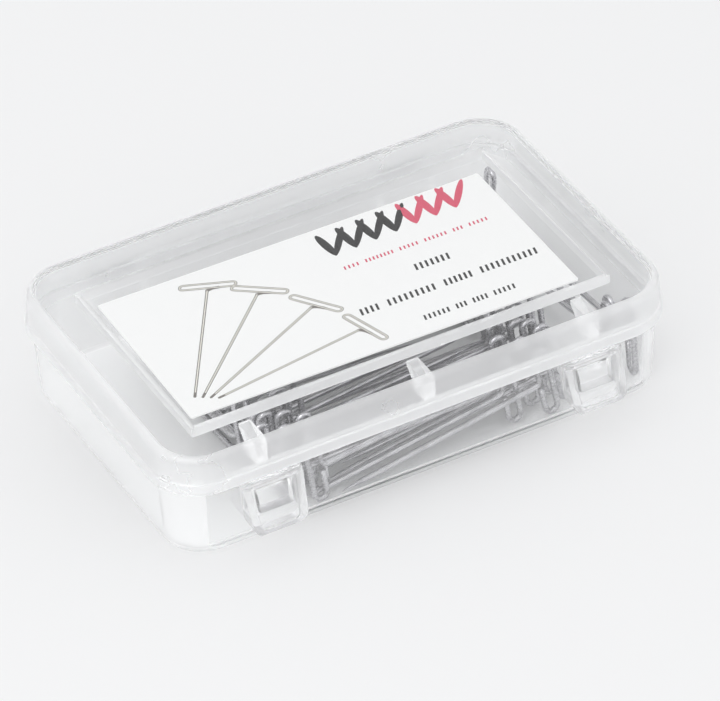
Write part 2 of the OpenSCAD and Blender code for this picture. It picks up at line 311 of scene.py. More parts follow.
def ink(name, rgb):
    """Printing ink with a faint screen unevenness."""
    made, tree, shader = principled(name, Base_Color=(*rgb, 1), IOR=1.45,
                                    Specular_IOR_Level=0.05)
    mottle = noise(tree, object_coordinates(tree), 2500.0, 2.0)
    mix = node(tree, "ShaderNodeMix", data_type="RGBA")
    mix.inputs["A"].default_value = (*rgb, 1)
    mix.inputs["B"].default_value = (*(min(1.0, 1.2 * c + 0.003) for c in rgb), 1)
    tree.links.new(mottle, mix.inputs["Factor"])
    tree.links.new(mix.outputs["Result"], shader.inputs["Base Color"])
    tree.links.new(ranged(tree, mottle, 0.35, 0.5), shader.inputs["Roughness"])
    return made


def plated_wire(name, pins):
    """Nickel-plated drawn wire: lines along the wire, dull patches and a ground point."""
    made, tree, shader = principled(name, Metallic=1.0, Base_Color=(*pins.nickel, 1))
    along = node(tree, "ShaderNodeAttribute", attribute_name="wire_place")
    drawn = noise(tree, along.outputs["Vector"], 1.0, 3.0, (60.0, 2600.0, 2600.0))
    patches = noise(tree, along.outputs["Vector"], 240.0, 3.0)
    mix = node(tree, "ShaderNodeMix", data_type="RGBA")
    mix.inputs["A"].default_value = (*pins.nickel, 1)
    mix.inputs["B"].default_value = (*pins.dull, 1)
    tree.links.new(ranged(tree, patches, 0.0, 0.75, 0.42, 0.72), mix.inputs["Factor"])
    tree.links.new(mix.outputs["Result"], shader.inputs["Base Color"])
    tree.links.new(ranged(tree, drawn, 0.16, 0.34), shader.inputs["Roughness"])
    bumped(tree, shader, drawn, 0.00003, 0.35)
    return made


def floor_finish(name, rgb):
    """Pale matt studio floor."""
    made, tree, shader = principled(name, Base_Color=(*rgb, 1), Roughness=0.9)
    shader.inputs["Specular IOR Level"].default_value = 0.1
    speck = noise(tree, object_coordinates(tree), 30.0, 2.0)
    mix = node(tree, "ShaderNodeMix", data_type="RGBA")
    mix.inputs["A"].default_value = (*(0.995 * c for c in rgb), 1)
    mix.inputs["B"].default_value = (*rgb, 1)
    tree.links.new(speck, mix.inputs["Factor"])
    tree.links.new(mix.outputs["Result"], shader.inputs["Base Color"])
    return made


def material(name, make, *args):
    """The material of that name, made on first use."""
    return bpy.data.materials.get(name) or make(name, *args)


def clear_plastic(shell):
    """The lid's thin, polished top."""
    return material("clear_polypropylene", polypropylene, shell.tint, shell.clarity,
                    0.0, 0.02, 0.000004, 0.08)


def hazy_plastic(shell):
    """The tray's floor and its side and back walls."""
    return material("hazy_polypropylene", polypropylene, shell.tint, shell.haze,
                    0.06, 0.12, 0.00001)


def window_plastic(shell):
    """The tray's front wall, which is polished."""
    return material("window_polypropylene", polypropylene, shell.tint, shell.window,
                    0.0, 0.02, 0.000004)


def latch_plastic(shell):
    """The latches and the catches."""
    return material("latch_polypropylene", polypropylene, shell.tint, shell.latch,
                    0.12, 0.22, 0.00002)


def frosted_plastic(shell):
    """The lid's sides and flange, and the tray's shoulder and lip."""
    return material("frosted_polypropylene", polypropylene, shell.tint, shell.frost,
                    0.25, 0.36, 0.00003)


def milky_plastic(shell):
    """Thick parts: the foot, gussets, rib frame and hinges."""
    return material("thick_polypropylene", polypropylene, shell.tint, shell.milk,
                    0.15, 0.28, 0.00003)


# --- Mesh helpers ---

def arc(cx, cz, radius, start, end, steps):
    """Points of an arc, with its angles in degrees."""
    return [(cx + radius * math.cos(a), cz + radius * math.sin(a))
            for a in (math.radians(start + (end - start) * i / steps)
                      for i in range(steps + 1))]


def finished(name, bm, *materials, sharp=CREASE_DEG):
    """Turns a bmesh into an object at the origin with smooth faces and sharp corners kept."""
    mesh = bpy.data.meshes.new(name)
    bm.to_mesh(mesh)
    bm.free()
    made = bpy.data.objects.new(name, mesh)
    bpy.context.scene.collection.objects.link(made)
    for each in materials:
        mesh.materials.append(each)
    smooth(made, sharp)
    return made


def smooth(piece, sharp):
    """Smooth shading with creases over the given angle, and flat areas kept flat."""
    piece.data.shade_smooth()
    piece.data.set_sharp_from_angle(angle=math.radians(sharp))
    weighted = piece.modifiers.get("Flat areas") or piece.modifiers.new("Flat areas",
                                                                        "WEIGHTED_NORMAL")
    weighted.keep_sharp = True
    weighted.weight = 90


def settle(piece):
    """Applies a piece's modifiers to its mesh."""
    graph = bpy.context.evaluated_depsgraph_get()
    mesh = bpy.data.meshes.new_from_object(piece.evaluated_get(graph))
    piece.modifiers.clear()
    piece.data = mesh


def combine(piece, tools, operation):
    """Adds solids to a piece, or cuts them from it, and removes them."""
    for tool in tools:
        piece.modifiers.clear()
        join = piece.modifiers.new("Join", "BOOLEAN")
        join.operation = operation
        join.solver = "EXACT"
        join.object = tool
        settle(piece)
        bpy.data.objects.remove(tool)


def finish_with(piece, index, *materials):
    """Gives all of a piece's faces one of the materials, in the slots that the whole has."""
    piece.data.materials.clear()
    for each in materials:
        piece.data.materials.append(each)
    for face in piece.data.polygons:
        face.material_index = index


def eased(bm, width, segments=2, angle=30.0):
    """Bevels every edge that is sharper than the angle."""
    edges = [e for e in bm.edges
             if len(e.link_faces) == 2 and e.calc_face_angle(0.0) > math.radians(angle)]
    bmesh.ops.bevel(bm, geom=edges, offset=width, segments=segments, affect="EDGES",
                    profile=0.5, material=-1, clamp_overlap=True)


def rounded_loft(half_x, half_y, radius, profile, segments):
    """A closed solid: a rounded rectangle carried through [inset, height] steps and capped."""
    bm = bmesh.new()
    bmesh.ops.create_grid(bm, x_segments=1, y_segments=1, size=1.0)
    bmesh.ops.scale(bm, vec=(half_x, half_y, 1.0), verts=bm.verts)
    bmesh.ops.bevel(bm, geom=bm.verts[:], offset=radius, segments=segments,
                    affect="VERTICES", profile=0.5, material=-1)

    def place(verts, inset, height):
        for v in verts:
            centre = Vector((math.copysign(half_x - radius, v.co.x),
                             math.copysign(half_y - radius, v.co.y)))
            away = (v.co.xy - centre).normalized() * (radius - inset)
            v.co = (centre.x + away.x, centre.y + away.y, height)

    bm.faces.ensure_lookup_table()
    ring = list(bm.faces[0].edges)
    place(bm.verts, *profile[0])
    for step in profile[1:]:
        made = bmesh.ops.extrude_edge_only(bm, edges=ring)["geom"]
        fresh = {g for g in made if isinstance(g, bmesh.types.BMVert)}
        place(fresh, *step)
        ring = [g for g in made if isinstance(g, bmesh.types.BMEdge)
                and g.verts[0] in fresh and g.verts[1] in fresh]
    bmesh.ops.contextual_create(bm, geom=ring)
    bmesh.ops.recalc_face_normals(bm, faces=bm.faces)
    return bm


def side_prism(width, outline):
    """A prism along X, centred on x = 0, from a closed outline of (y, z) points."""
    bm = bmesh.new()
    verts = [bm.verts.new((-width / 2, y, z)) for y, z in outline]
    face = bm.faces.new(verts)
    made = bmesh.ops.extrude_face_region(bm, geom=[face])["geom"]
    bmesh.ops.translate(bm, vec=(width, 0, 0),
                        verts=[g for g in made if isinstance(g, bmesh.types.BMVert)])
    bmesh.ops.recalc_face_normals(bm, faces=bm.faces)
    return bm


def rod(radius, width, y, z, segments=48):
    """A closed cylinder along X, centred on x = 0."""
    bm = bmesh.new()
    bmesh.ops.create_cone(bm, cap_ends=True, segments=segments, radius1=radius,
                          radius2=radius, depth=width)
    bmesh.ops.rotate(bm, cent=(0, 0, 0), matrix=Matrix.Rotation(math.pi / 2, 3, "Y"),
                     verts=bm.verts)
    bmesh.ops.translate(bm, vec=(0, y, z), verts=bm.verts)
    return bm


def block(low, high):
    """A box between two corners."""
    bm = bmesh.new()
    bmesh.ops.create_cube(bm, size=1.0)
    size = Vector(high) - Vector(low)
    bmesh.ops.scale(bm, vec=size, verts=bm.verts)
    bmesh.ops.translate(bm, vec=Vector(low) + size / 2, verts=bm.verts)
    return bm


def shifted(bm, x):
    """Moves a bmesh along X."""
    bmesh.ops.translate(bm, vec=(x, 0, 0), verts=bm.verts)
    return bm


# --- Places taken from the frame ---

def half_length():
    """Half of the flange's length."""
    return LID_HIGH.x


def half_width():
    """Half of the flange's width."""
    return -LID_LOW.y


def hinge_radius():
    """Outer radius of the hinge ears and knuckles."""
    return TRAY_HIGH.y - HINGES["lid_hinge"].y


def corner_segments():
    """Steps in each rounded corner."""
    return bpy.context.scene.pin_box_stage.segments


# --- Tray ---

def tray_body(shell):
    """The tray's shell: foot, wall, shoulder, lip, inner wall and floor in one profile."""
    floor_in = shell.tray_inset + shell.tray_draft
    lip_out = shell.tray_inset + shell.tray_wall - shell.lip_wall
    cavity = shell.tray_inset + shell.tray_wall
    seat = shell.parting - shell.seat_gap
    top = shell.parting + shell.lip_rise
    soft = 0.22 * MM
    foot, fillet = shell.foot_round, shell.inner_round
    inner = floor_in + shell.tray_wall
    recess, ledge = 0.3 * MM, 5.5 * MM
    profile = [(floor_in + ledge + 0.4 * MM, recess), (floor_in + ledge, 0.0)]
    profile += arc(floor_in + foot, foot, foot, 270, 180, 8)
    profile += arc(shell.tray_inset + soft, seat - soft, soft, 180, 90, 3)
    profile += [(lip_out, seat)]
    profile += arc(lip_out + soft, top - soft, soft, 180, 90, 3)
    profile += arc(cavity - soft, top - soft, soft, 90, 0, 3)
    profile += [(cavity, seat)]
    profile += arc(inner + fillet, shell.tray_wall + fillet, fillet, 180, 270, 5)
    return rounded_loft(half_length(), half_width(), shell.corner_radius, profile,
                        corner_segments())


def catch_wedge(shell, latch):
    """The wedge that a latch's window drops over."""
    root = -(half_width() - shell.tray_inset - shell.tray_wall) - BURIED
    flap = HINGES["latch_left_hinge"]
    sill = latch.window_low + 0.15 * MM
    front = flap.y - latch.plate / 2 - latch.catch_reach
    upper = flap.y - latch.plate / 2 - 0.2 * MM
    top = flap.z - latch.barrel - 0.45 * MM
    bm = side_prism(latch.catch_width,
                    [(root, sill), (flap.y, sill), (front, sill + 0.4 * MM),
                     (front, sill + 0.8 * MM), (upper, top - 0.3 * MM),
                     (upper + 0.3 * MM, top), (root, top)])
    eased(bm, SOFT_EDGE)
    return bm


def hinge_ear(shell, x):
    """One ear on the tray's back wall."""
    axis = HINGES["lid_hinge"]
    radius = hinge_radius()
    shoulder = axis.z + 1.2 * MM
    root = half_width() - shell.tray_inset - shell.tray_wall + BURIED
    outline = [(root, axis.z - 4 * MM), (axis.y, axis.z - radius)]
    outline += [(axis.y + radius * math.cos(a), axis.z + radius * math.sin(a))
                for a in (math.radians(-90 + 15 * i) for i in range(1, 11))]
    outline += [(axis.y - 1.0 * MM, shoulder), (root, shoulder)]
    bm = side_prism(shell.ear_width, outline)
    eased(bm, SOFT_EDGE, angle=50.0)
    return shifted(bm, x)


def make_tray():
    """Builds the tray and puts it in the CAD tray's place."""
    shell, latch = bpy.context.scene.pin_box_shell, bpy.context.scene.pin_box_latch
    finishes = (hazy_plastic(shell), milky_plastic(shell), frosted_plastic(shell),
                window_plastic(shell), latch_plastic(shell))
    milky, frosted, polished, catch = 1, 2, 3, 4
    tray = finished("tray_shell", tray_body(shell), *finishes)
    low_down = shell.tray_wall + shell.inner_round
    for face in tray.data.polygons:
        if face.center.z < low_down and abs(face.normal.z) < 0.95:
            face.material_index = milky
        elif face.center.z > shell.parting - 1 * MM:
            face.material_index = frosted
        elif abs(face.normal.y) > 0.95 and face.center.y < 0:
            face.material_index = polished
    axis = HINGES["lid_hinge"]
    ear = (shell.hinge_width - shell.ear_width) / 2
    extras = []
    for side in (-1, 1):
        x = side * HINGES["latch_right_hinge"].x
        extras.append(finished("catch", shifted(catch_wedge(shell, latch), x)))
        station = side * shell.hinge_spacing
        for end in (-1, 1):
            extras.append(finished("ear", hinge_ear(shell, station + end * ear)))
        pin = rod(shell.hinge_pin, shell.hinge_width - shell.ear_width, axis.y, axis.z)
        extras.append(finished("pin", shifted(pin, station)))
    for extra in extras:
        finish_with(extra, catch if extra.name.startswith("catch") else milky, *finishes)
    combine(tray, extras, "UNION")
    smooth(tray, CREASE_DEG)
    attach(tray, "tray")
    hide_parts("tray")
    return tray


# --- Lid ---

def lid_body(shell):
    """The lid's shell, from its ceiling down the inside and up the outside."""
    top = LID_HIGH.z
    ceiling = top - shell.lid_wall
    inner = shell.lid_inset + shell.lid_wall
    skirt = 1.3 * MM
    flange_top = shell.parting + shell.flange_height
    soft = 0.3 * MM
    fillet, crown = shell.inner_round, shell.lid_rounding
    wall = shell.lid_inset + 0.1 * MM
    profile = arc(inner + fillet, ceiling - fillet, fillet, 90, 180, 5)
    profile += [(skirt, flange_top), (skirt, shell.parting + 0.15 * MM),
                (skirt - 0.15 * MM, shell.parting)]
    profile += arc(soft, shell.parting + soft, soft, 270, 180, 3)
    profile += arc(soft, flange_top - soft, soft, 180, 110, 3)
    profile += [(shell.lid_inset + 0.04 * MM, flange_top + 0.12 * MM)]
    profile += arc(wall + crown, top - crown, crown, 180, 90, 9)
    return rounded_loft(half_length(), half_width(), shell.corner_radius, profile,
                        corner_segments())


def gusset(shell):
    """A gusset between the lid's front wall and its ceiling."""
    wall = -(half_width() - shell.lid_wall - BURIED)
    inner = -(half_width() - shell.lid_wall - shell.gusset_depth)
    low = shell.parting + shell.lip_rise + 0.3 * MM
    ceiling = LID_HIGH.z - shell.lid_wall
    high = ceiling + BURIED
    bm = side_prism(shell.gusset_width,
                    [(wall, low), (wall + 2.4 * MM, low), (inner, ceiling - 0.7 * MM),
                     (inner, high), (wall, high)])
    eased(bm, 0.18 * MM)
    return bm


def knuckle(shell, x):
    """A snap-on knuckle with its arm and its bore."""
    axis = HINGES["lid_hinge"]
    clearance, slack = 0.3 * MM, 0.05 * MM
    across = shell.hinge_width - 2 * (shell.ear_width + clearance)
    radius = hinge_radius()
    root = half_width() - BURIED
    flange_top = shell.parting + shell.flange_height
    arm = side_prism(across, [(root, shell.parting + 0.1 * MM),
                              (axis.y - 0.9 * MM, axis.z + 1.1 * MM),
                              (axis.y + 1.3 * MM, axis.z + 0.6 * MM),
                              (axis.y + 0.3 * MM, flange_top - 0.9 * MM),
                              (root, flange_top - 0.4 * MM)])
    eased(arm, SOFT_EDGE)
    barrel = rod(radius, across, axis.y, axis.z)
    eased(barrel, SOFT_EDGE, angle=60.0)
    made = finished("knuckle", shifted(barrel, x))
    combine(made, [finished("arm", shifted(arm, x))], "UNION")
    bore = shifted(rod(shell.hinge_pin + slack, across + PAST, axis.y, axis.z), x)
    mouth = block((x - across, axis.y - 0.75 * MM, axis.z - 2 * radius),
                  (x + across, axis.y + 0.75 * MM, axis.z))
    combine(made, [finished("bore", bore), finished("mouth", mouth)], "DIFFERENCE")
    return made


def card_rib(shell):
    """The low rib frame under the lid's top that the card lies in."""
    card = bpy.context.scene.pin_box_card
    offset = -(CARD_LOW.x + CARD_HIGH.x) / 2
    half = Vector((card.width / 2 + offset + 0.8 * MM, card.depth / 2 + offset + 1.45 * MM))
    outer = half + Vector((shell.rib_wall, shell.rib_wall))
    ceiling = LID_HIGH.z - shell.lid_wall
    low, high = ceiling - shell.rib_height, ceiling + BURIED
    frame_block = block((-outer.x, -outer.y, low), (outer.x, outer.y, high))
    eased(frame_block, 0.15 * MM)
    rib = finished("card_rib", frame_block)
    opening = block((-half.x, -half.y, low - PAST), (half.x, half.y, high + PAST))
    combine(rib, [finished("opening", opening)], "DIFFERENCE")
    return rib


def make_lid():
    """Builds the lid and puts it in the CAD lid's place."""
    shell = bpy.context.scene.pin_box_shell
    finishes = frosted_plastic(shell), milky_plastic(shell), clear_plastic(shell)
    milky, clear = 1, 2
    lid = finished("lid_shell", lid_body(shell), *finishes)
    for face in lid.data.polygons:
        if abs(face.normal.z) > 0.999 and face.center.z > LID_HIGH.z - 1.5 * shell.lid_wall:
            face.material_index = clear
    extras = []
    for x in (-shell.gusset_spacing, 0.0, shell.gusset_spacing):
        extras.append(finished("gusset", shifted(gusset(shell), x)))
    for side in (-1, 1):
        extras.append(knuckle(shell, side * shell.hinge_spacing))
    extras.append(card_rib(shell))
    for extra in extras:
        finish_with(extra, milky, *finishes)
    combine(lid, extras, "UNION")
    smooth(lid, CREASE_DEG)
    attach(lid, "lid")
    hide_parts("lid")
    return lid


# --- Latches ---

def flap_plate(width, taper, bottom, top, rounding, front, back):
    """A plate that narrows downwards, with rounded lower corners, between two y planes."""
    bm = bmesh.new()
    bmesh.ops.create_grid(bm, x_segments=1, y_segments=1, size=1.0)
    bmesh.ops.rotate(bm, cent=(0, 0, 0), matrix=Matrix.Rotation(math.pi / 2, 3, "X"),
                     verts=bm.verts)
    bmesh.ops.scale(bm, vec=(width / 2, 1, (top - bottom) / 2), verts=bm.verts)
    bmesh.ops.translate(bm, vec=(0, front, (top + bottom) / 2), verts=bm.verts)
    low = [v for v in bm.verts if v.co.z < (top + bottom) / 2]
    for v in low:
        v.co.x -= math.copysign(taper, v.co.x)
    bmesh.ops.bevel(bm, geom=low, offset=rounding, segments=8, affect="VERTICES",
                    profile=0.5, material=-1)
    made = bmesh.ops.extrude_face_region(bm, geom=bm.faces[:])["geom"]
    bmesh.ops.translate(bm, vec=(0, back - front, 0),
                        verts=[g for g in made if isinstance(g, bmesh.types.BMVert)])
    bmesh.ops.recalc_face_normals(bm, faces=bm.faces)
    return bm


def make_latch(node_name, body):
    """Builds one latch flap in its CAD node's place."""
    shell, latch = bpy.context.scene.pin_box_shell, bpy.context.scene.pin_box_latch
    plastic = latch_plastic(shell)
    low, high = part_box(node_name)
    x = (low.x + high.x) / 2
    axis = HINGES[body + "_hinge"]
    front, back = axis.y - latch.plate / 2, axis.y + latch.plate / 2
    width = high.x - low.x
    lip_top, neck, nose = low.z + latch.lip, axis.z - latch.barrel, 0.4 * MM
    side = side_prism(2 * width, [(back, low.z), (back, axis.z), (front, axis.z),
                                  (front - latch.throat, neck),
                                  (low.y, lip_top), (low.y, low.z + nose),
                                  (low.y + nose, low.z)])
    outline = flap_plate(width, latch.taper, low.z, axis.z, latch.rounding,
                         low.y - PAST, back + PAST)
    flap = finished(node_name + "_flap", outline, plastic)
    combine(flap, [finished("side", side)], "INTERSECT")
    recess = finished("recess", flap_plate(width - 2 * latch.rim, latch.taper, lip_top,
                                           axis.z, latch.rounding - latch.rim,
                                           low.y - PAST, low.y + 3 * MM))
    panel = side_prism(2 * width, [(low.y - PAST, low.z),
                                   (low.y + latch.panel_depth, lip_top),
                                   (front - latch.throat + latch.panel_depth, neck),
                                   (low.y - PAST, axis.z)])
    combine(recess, [finished("panel", panel)], "INTERSECT")
    window = block((-latch.window_width / 2, low.y - PAST, latch.window_low),
                   (latch.window_width / 2, back + PAST, neck - 0.1 * MM))
    combine(flap, [recess, finished("window", window)], "DIFFERENCE")
    barrel = rod(latch.barrel, width, axis.y, axis.z, 32)
    combine(flap, [finished("barrel", barrel)], "UNION")
    bm = bmesh.new()
    bm.from_mesh(flap.data)
    bmesh.ops.remove_doubles(bm, verts=bm.verts, dist=0.005 * MM)
    bmesh.ops.translate(bm, vec=(x, 0, 0), verts=bm.verts)
    bm.to_mesh(flap.data)
    bm.free()
    edge = flap.modifiers.new("Eased edges", "BEVEL")
    edge.width = 0.14 * MM
    edge.segments = 2
    edge.limit_method = "ANGLE"
    edge.angle_limit = math.radians(35)
    edge.harden_normals = False
    settle(flap)
    smooth(flap, 35.0)
    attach(flap, body)
    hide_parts(node_name)
    return flap


# --- Label card and its print ---

def card_place():
    """Where the card's lower left corner is, as a matrix from card coordinates."""
    card = bpy.context.scene.pin_box_card
    centre = (CARD_LOW + CARD_HIGH) / 2
    return (Matrix.Translation((centre.x, centre.y, 0)) @ Matrix.Rotation(card.turn, 4, "Z")
            @ Matrix.Translation((-card.width / 2, -card.depth / 2, 0)))


def print_height():
    """Height of the card's printed face, a little below the lid's ceiling."""
    return CARD_HIGH.z - 0.06 * MM


def make_card():
    """Builds the plain card."""
    card = bpy.context.scene.pin_box_card
    stock = material("card_stock", card_stock, card.paper)
    bm = block((0, 0, CARD_LOW.z + 0.02 * MM), (card.width, card.depth, print_height()))
    corners = [e for e in bm.edges if abs(e.verts[0].co.z - e.verts[1].co.z) > 0.1 * MM]
    bmesh.ops.bevel(bm, geom=corners, offset=0.35 * MM, segments=4, affect="EDGES",
                    profile=0.5, material=-1)
    bmesh.ops.transform(bm, matrix=card_place(), verts=bm.verts)
    made = finished("label_card_stock", bm, stock)
    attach(made, "lid")
    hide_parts("label_card")
    return made


def stroke(points, width, closed=False, round_ends=True):
    """One pen stroke of ink as a flat, closed mesh in card coordinates."""
    curve = bpy.data.curves.new("stroke", "CURVE")
    curve.dimensions = "3D"
    curve.bevel_depth = width / 2
    curve.bevel_resolution = 2
    curve.use_fill_caps = True
    line = curve.splines.new("POLY")
    line.points.add(len(points) - 1)
    for point, (u, v) in zip(line.points, points):
        point.co = (u, v, 0, 1)
    line.use_cyclic_u = closed
    made = bpy.data.objects.new("stroke", curve)
    bpy.context.scene.collection.objects.link(made)
    graph = bpy.context.evaluated_depsgraph_get()
    mesh = bpy.data.meshes.new_from_object(made.evaluated_get(graph))
    bpy.data.objects.remove(made)
    bm = bmesh.new()
    bm.from_mesh(mesh)
    bpy.data.meshes.remove(mesh)
    if round_ends and not closed:
        for end in (points[0], points[-1]):
            bmesh.ops.create_uvsphere(bm, u_segments=12, v_segments=6, radius=width / 2,
                                      matrix=Matrix.Translation((*end, 0)))
    return bm


def printed(name, strokes, finish, layer):
    """Presses strokes flat onto the card as one piece of ink."""
    bm = bmesh.new()
    for each in strokes:
        mesh = bpy.data.meshes.new("ink")
        each.to_mesh(mesh)
        each.free()
        bm.from_mesh(mesh)
        bpy.data.meshes.remove(mesh)
    thick = max(v.co.z for v in bm.verts)
    film = 0.006 * MM
    bmesh.ops.scale(bm, vec=(1, 1, film / thick), verts=bm.verts)
    bmesh.ops.translate(bm, vec=(0, 0, print_height() + (0.5 + layer) * film), verts=bm.verts)
    bmesh.ops.transform(bm, matrix=card_place(), verts=bm.verts)
    made = finished(name, bm, finish)
    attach(made, "lid")
    return made


def drawn_pin_strokes(tip, head, shank_width, tone):
    """Strokes of one drawn T-pin, from its point to its looped head."""
    tip, head = Vector(tip), Vector(head)
    axis = (head - tip).normalized()
    across = Matrix.Rotation(math.radians(9), 2) @ Vector((axis.y, -axis.x))
    half, loop = 4.1 * MM, 0.62 * MM
    bend = 0.5 * MM

    def at(s, t):
        p = head + across * s + axis * t
        return (p.x, p.y)

    ends = [at(half + loop * math.cos(a), loop * math.sin(a))
            for a in (math.radians(-90 + 22.5 * i) for i in range(9))]
    ends += [at(-half + loop * math.cos(a), loop * math.sin(a))
             for a in (math.radians(90 + 22.5 * i) for i in range(9))]
    start = at(0.0, -loop - 1.5 * bend)
    if tone == "dark":
        return [stroke(ends, shank_width, closed=True),
                stroke([start, (tip.x, tip.y)], shank_width),
                stroke([at(1.9 * MM, -loop), at(0.9 * MM, -loop - 0.15 * MM),
                        at(0.3 * MM, -loop - 0.9 * bend), start], 1.35 * shank_width)]
    near_tip = tip + axis * 1.2 * MM
    return [stroke(ends, 0.42 * shank_width, closed=True),
            stroke([start, (near_tip.x, near_tip.y)], 0.42 * shank_width)]


def tick_row(u, v, lengths, gap, height, width):
    """Groups of slanted running stitches, one group for each word of a line."""
    ticks = []
    pitch = 2.4 * width
    for each in lengths:
        count = max(2, round(each / pitch))
        for i in range(count):
            foot = u + (i + 0.25) * each / count
            ticks.append(stroke([(foot, v - height / 2), (foot + 0.2 * height, v + height / 2)],
                                width, round_ends=False))
        u += each + gap
    return ticks


def stitch(u, v, size, lean):
    """One V-shaped knit stitch from two leaf shapes."""
    leaves = []
    for side in (-1, 1):
        bm = bmesh.new()
        bmesh.ops.create_uvsphere(bm, u_segments=20, v_segments=8, radius=1.0)
        bmesh.ops.scale(bm, vec=(0.1 * size, 0.5 * size, 0.1 * MM), verts=bm.verts)
        turn = Matrix.Rotation(math.radians(-22 * side), 3, "Z")
        bmesh.ops.rotate(bm, cent=(0, 0, 0), matrix=turn, verts=bm.verts)
        bmesh.ops.translate(bm, vec=(0.17 * size * side, 0, 0), verts=bm.verts)
        for vert in bm.verts:
            vert.co.x += lean * vert.co.y
        bmesh.ops.translate(bm, vec=(u, v, 0), verts=bm.verts)
        leaves.append(bm)
    return leaves


def make_print():
    """Prints the card: a fan of drawn pins, a made-up stitch mark, and ticks for words."""
    card = bpy.context.scene.pin_box_card
    black = material("black_ink", ink, card.black_ink)
    red = material("red_ink", ink, card.red_ink)
    wire = material("wire_ink", ink, card.wire_ink)
    shine = material("shine_ink", ink, card.shine_ink)
    dark, light = [], []
    reach, gap = 29.5 * MM, 1.1 * MM
    for i, angle in enumerate((59.0, 44.5, 27.0, 8.5)):
        a = math.radians(angle)
        tip = (3.0 * MM + i * gap, 4.6 * MM - 0.75 * MM * i)
        head = (tip[0] + reach * math.cos(a), tip[1] + reach * math.sin(a))
        dark += drawn_pin_strokes(tip, head, 0.5 * MM, "dark")
        light += drawn_pin_strokes(tip, head, 0.5 * MM, "light")
    printed("card_print_pins", dark, wire, 0)
    printed("card_print_shine", light, shine, 1)
    size, pitch, count, lead = 7.2 * MM, 3.95 * MM, 7, 4
    first = (41.5 * MM, 29.6 * MM)
    marks = [stitch(first[0] + i * pitch, first[1] + 0.25 * MM * i, size, 0.3)
             for i in range(count)]
    printed("card_mark_black", [leaf for m in marks[:lead] for leaf in m], black, 0)
    printed("card_mark_red", [leaf for m in marks[lead:] for leaf in m], red, 0)
    tagline = tick_row(39.8 * MM, 22.5 * MM, [3.2 * MM, 5.6 * MM, 3.9 * MM, 4.6 * MM,
                                             2.2 * MM, 3.9 * MM], 0.85 * MM, 0.9 * MM, 0.3 * MM)
    printed("card_print_tagline", tagline, red, 0)
    lines = tick_row(50.0 * MM, 16.7 * MM, [7.0 * MM], 1.0 * MM, 1.7 * MM, 0.42 * MM)
    lines += tick_row(36.4 * MM, 10.5 * MM, [3.9 * MM, 9.4 * MM, 5.6 * MM, 11.2 * MM],
                      1.25 * MM, 1.7 * MM, 0.42 * MM)
    lines += tick_row(44.8 * MM, 3.9 * MM, [5.2 * MM, 2.3 * MM, 3.1 * MM, 4.4 * MM],
                      0.85 * MM, 1.3 * MM, 0.36 * MM)
    printed("card_print_lines", lines, black, 0)


# --- T-pins ---

def pin_axes(verts, long_side):
    """The head's middle and the directions along and across a pin, from its shape."""
    centre = sum((v.co for v in verts), Vector()) / len(verts)
    tip = max(verts, key=lambda v: (v.co - centre).length).co.copy()
    along = (centre - tip).normalized()
    head = [v.co for v in verts if (v.co - tip).dot(along) > 0.9 * long_side]
    middle = sum(head, Vector()) / len(head)
    along = (tip - middle).normalized()
    end = max(head, key=lambda p: (p - middle).length)
    across = end - middle
    across = (across - along * across.dot(along)).normalized()
    return middle, along, across


def make_pin(node_name, finish, overall):
    """Copies one CAD pin, merges its facets and marks where each point lies on the wire."""
    source = frame["nodes"][node_name]
    bm = bmesh.new()
    bm.from_mesh(source.data)
    bmesh.ops.remove_doubles(bm, verts=bm.verts, dist=0.001 * MM)
    middle, along, across = pin_axes(list(bm.verts), overall)
    normal = along.cross(across)
    layer = bm.verts.layers.float_vector.new("wire_place")
    for v in bm.verts:
        at = v.co - middle
        v[layer] = (at.dot(along), at.dot(across), at.dot(normal))
    made = finished(node_name + "_wire", bm, finish, sharp=60.0)
    made.modifiers.clear()
    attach(made, "tray")
    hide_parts(node_name)
    return made


# --- Stage ---

def make_floor(settings):
    """A wide pale floor under the box."""
    bm = bmesh.new()
    bmesh.ops.create_grid(bm, x_segments=1, y_segments=1, size=2.5)
    bmesh.ops.translate(bm, vec=(0, 0, -0.02 * MM), verts=bm.verts)
    floor = finished("studio_floor", bm, material("studio_floor", floor_finish,
                                                  settings.floor))
    floor.modifiers.clear()


def make_sky(settings):
    """Light from all round, a little weaker from the sides than from above."""
    world = bpy.data.worlds.new("studio_sky")
    bpy.context.scene.world = world
    world.use_nodes = True
    tree = world.node_tree
    background = tree.nodes["Background"]
    place = node(tree, "ShaderNodeTexCoord")
    split = node(tree, "ShaderNodeSeparateXYZ")
    tree.links.new(place.outputs["Generated"], split.inputs["Vector"])
    rise = ranged(tree, split.outputs["Z"], 0.0, 1.0, 0.5, 0.9)
    side = ranged(tree, split.outputs["Y"], settings.horizon,
                  settings.horizon * settings.behind, 0.0, 0.6)
    level = node(tree, "ShaderNodeMix", data_type="FLOAT")
    level.inputs[3].default_value = settings.sky
    tree.links.new(rise, level.inputs[0])
    tree.links.new(side, level.inputs[2])
    tree.links.new(level.outputs[0], background.inputs["Strength"])
    background.inputs["Color"].default_value = (0.985, 0.99, 1.0, 1.0)


def make_lamp(name, place, target, size, power):
    """A large soft area light."""
    data = bpy.data.lights.new(name, "AREA")
    data.size = size
    data.energy = power
    lamp = bpy.data.objects.new(name, data)
    lamp.location = place
    lamp.rotation_euler = (target - place).to_track_quat("-Z", "Y").to_euler()
    bpy.context.scene.collection.objects.link(lamp)


